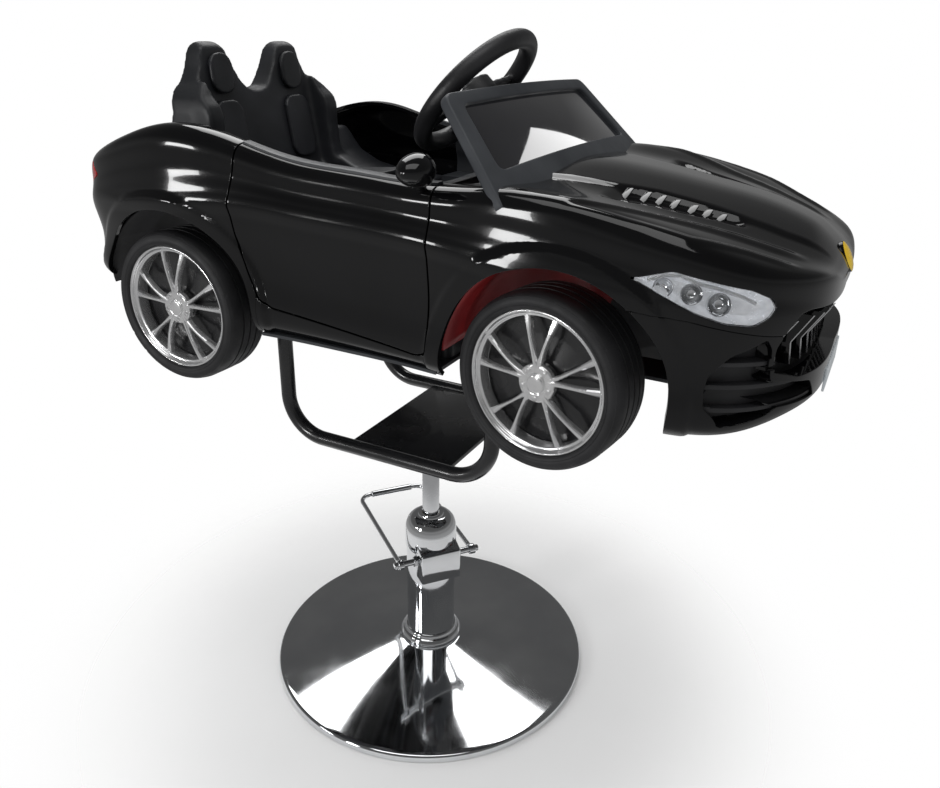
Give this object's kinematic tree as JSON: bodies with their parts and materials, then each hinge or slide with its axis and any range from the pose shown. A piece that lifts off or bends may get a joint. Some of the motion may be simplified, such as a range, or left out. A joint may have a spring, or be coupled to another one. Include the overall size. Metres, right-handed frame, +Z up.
{
  "type": "kids car barber chair",
  "caption": "Children's barber chair: an open roadster body with doors, bench seat and steering wheel on a foot-pumped chrome pedestal with a round base.",
  "frame": {"origin": "centre of the round base's underside, on the floor", "axes": "+X to the front of the car, +Y to the car's left side, +Z up"},
  "size_m": [1.1672, 0.658, 1.1668],
  "materials": {
    "rubber_mat": "plain black floor mat",
    "iron_ballast": "raw casting",
    "chrome": "polished chrome plate",
    "brass_bush": "machined",
    "steel_parts": "machined, zinc plated",
    "black_frame": "gloss black enamel",
    "black_panel": "high gloss black with a clear coat",
    "silver_slats": "dark slats with silver edges",
    "pale_plate": "smooth, bare",
    "yellow_badge": "glossy, bare",
    "clear_lens": "clear moulded lens",
    "red_lens": "red moulded lens",
    "smoked_pane": "glossy smoked acrylic",
    "satin_trim": "satin dark grey moulding",
    "seat_black": "satin black moulding",
    "red_liner": "deep red moulding",
    "tyre": "low tyre with a shallow tread"
  },
  "bodies": {
    "pedestal": {"floor_gasket": "rubber_mat", "base_ballast": "iron_ballast", "base_cover": "chrome", "base_collar": "chrome", "pump_sleeve": "chrome", "pump_cap": "chrome", "rod_guide": "brass_bush", "inner_cylinder": "steel_parts", "pump_housing": "chrome"},
    "lever": {"lever_shaft": "chrome", "lever_bail": "chrome"},
    "lift": {"piston_rod": "chrome", "piston_head": "steel_parts"},
    "carrier": {"hub_socket": "black_frame", "cross_plate": "black_frame", "tube_loop_left": "black_frame", "tube_loop_right": "black_frame", "foot_bolts": "steel_parts", "body_rear": "black_panel", "body_front": "black_panel", "front_bumper": "black_panel", "sills": "black_panel", "door_hinges": "steel_parts", "grille_frame": "black_panel", "grille_slats": "silver_slats", "number_plate": "pale_plate", "nose_badge": "yellow_badge", "headlamp_lenses": "clear_lens", "headlamp_bowls": "chrome", "tail_lamps": "red_lens", "windscreen_frame": "satin_trim", "windscreen_pane": "smoked_pane", "chassis_pan": "satin_trim", "rear_axle": "steel_parts", "wheel_liners": "red_liner", "cockpit_tub": "satin_trim", "dashboard": "satin_trim", "seat_shell": "seat_black", "seat_pads": "seat_black", "front_beam": "steel_parts"},
    "right_door": {"door_right": "black_panel", "door_trim_right": "satin_trim", "mirror_right": "black_panel"},
    "left_door": {"door_left": "black_panel", "door_trim_left": "satin_trim", "mirror_left": "black_panel"},
    "steering": {"steering_wheel": "satin_trim", "steering_column": "steel_parts"},
    "horn": {"horn_button": "satin_trim"},
    "right_knuckle": {"knuckle_right": "steel_parts"},
    "left_knuckle": {"knuckle_left": "steel_parts"},
    "tie": {"tie_rod": "steel_parts"},
    "wheel_rear_right": {"rim_rear_right": "chrome", "tyre_rear_right": "tyre"},
    "wheel_rear_left": {"rim_rear_left": "chrome", "tyre_rear_left": "tyre"},
    "wheel_front_right": {"rim_front_right": "chrome", "tyre_front_right": "tyre"},
    "wheel_front_left": {"rim_front_left": "chrome", "tyre_front_left": "tyre"}
  },
  "joints": [
    {"name": "lift_slide", "type": "slide", "parent": "pedestal", "child": "lift", "axis": [0, 0, 1], "range_m": [-0.1, 0.04]},
    {"name": "seat_swivel", "type": "hinge", "parent": "lift", "child": "carrier", "pos_m": [0, 0, 0.46], "axis": [0, 0, 1], "continuous": true},
    {"name": "pump_lever", "type": "hinge", "parent": "pedestal", "child": "lever", "pos_m": [0.02335, -0.01884, 0.235], "axis": [0.628, 0.7782, 0], "range_deg": [-25, 0], "stiffness_Nm_per_rad": 6, "springref_deg": 14.32},
    {"name": "steering_turn", "type": "hinge", "parent": "carrier", "child": "steering", "pos_m": [0.078, 0, 1.077], "axis": [0.7361, 0, -0.6769], "range_deg": [-85.33, 34.67]},
    {"name": "horn_press", "type": "slide", "parent": "steering", "child": "horn", "axis": [0.7361, 0, -0.6769], "range_m": [0, 0.002], "stiffness_N_per_m": 400, "springref_m": -0.001},
    {"name": "knuckle_turn_right", "type": "hinge", "parent": "carrier", "child": "right_knuckle", "pos_m": [0.329, -0.178, 0.754], "axis": [0, 0, 1], "range_deg": [-10.5, 25.7]},
    {"name": "knuckle_turn_left", "type": "hinge", "parent": "carrier", "child": "left_knuckle", "pos_m": [0.329, 0.178, 0.754], "axis": [0, 0, 1], "range_deg": [-10.5, 25.7]},
    {"name": "tie_slide", "type": "slide", "parent": "carrier", "child": "tie", "axis": [0, 1, 0], "range_m": [-0.0202, 0.0083]},
    {"name": "wheel_spin_rear_right", "type": "hinge", "parent": "carrier", "child": "wheel_rear_right", "pos_m": [-0.299, -0.25, 0.754], "axis": [0, 1, 0], "continuous": true},
    {"name": "wheel_spin_rear_left", "type": "hinge", "parent": "carrier", "child": "wheel_rear_left", "pos_m": [-0.299, 0.25, 0.754], "axis": [0, 1, 0], "continuous": true},
    {"name": "wheel_spin_front_right", "type": "hinge", "parent": "right_knuckle", "child": "wheel_front_right", "pos_m": [0.329, -0.178, 0.754], "axis": [0.1323, 0.9912, 0], "continuous": true},
    {"name": "wheel_spin_front_left", "type": "hinge", "parent": "left_knuckle", "child": "wheel_front_left", "pos_m": [0.329, 0.178, 0.754], "axis": [0.1323, 0.9912, 0], "continuous": true},
    {"name": "door_right_swing", "type": "hinge", "parent": "carrier", "child": "right_door", "pos_m": [0.12452, -0.264, 0.83], "axis": [0, 0, 1], "range_deg": [0, 55]},
    {"name": "door_left_swing", "type": "hinge", "parent": "carrier", "child": "left_door", "pos_m": [0.12452, 0.264, 0.83], "axis": [0, 0, -1], "range_deg": [0, 55]}
  ],
  "couplings": [
    {"joint": "knuckle_turn_right", "follows": "steering_turn", "ratio": -0.3},
    {"joint": "knuckle_turn_left", "follows": "steering_turn", "ratio": -0.3},
    {"joint": "tie_slide", "follows": "steering_turn", "m_per_rad": 0.0133}
  ]
}
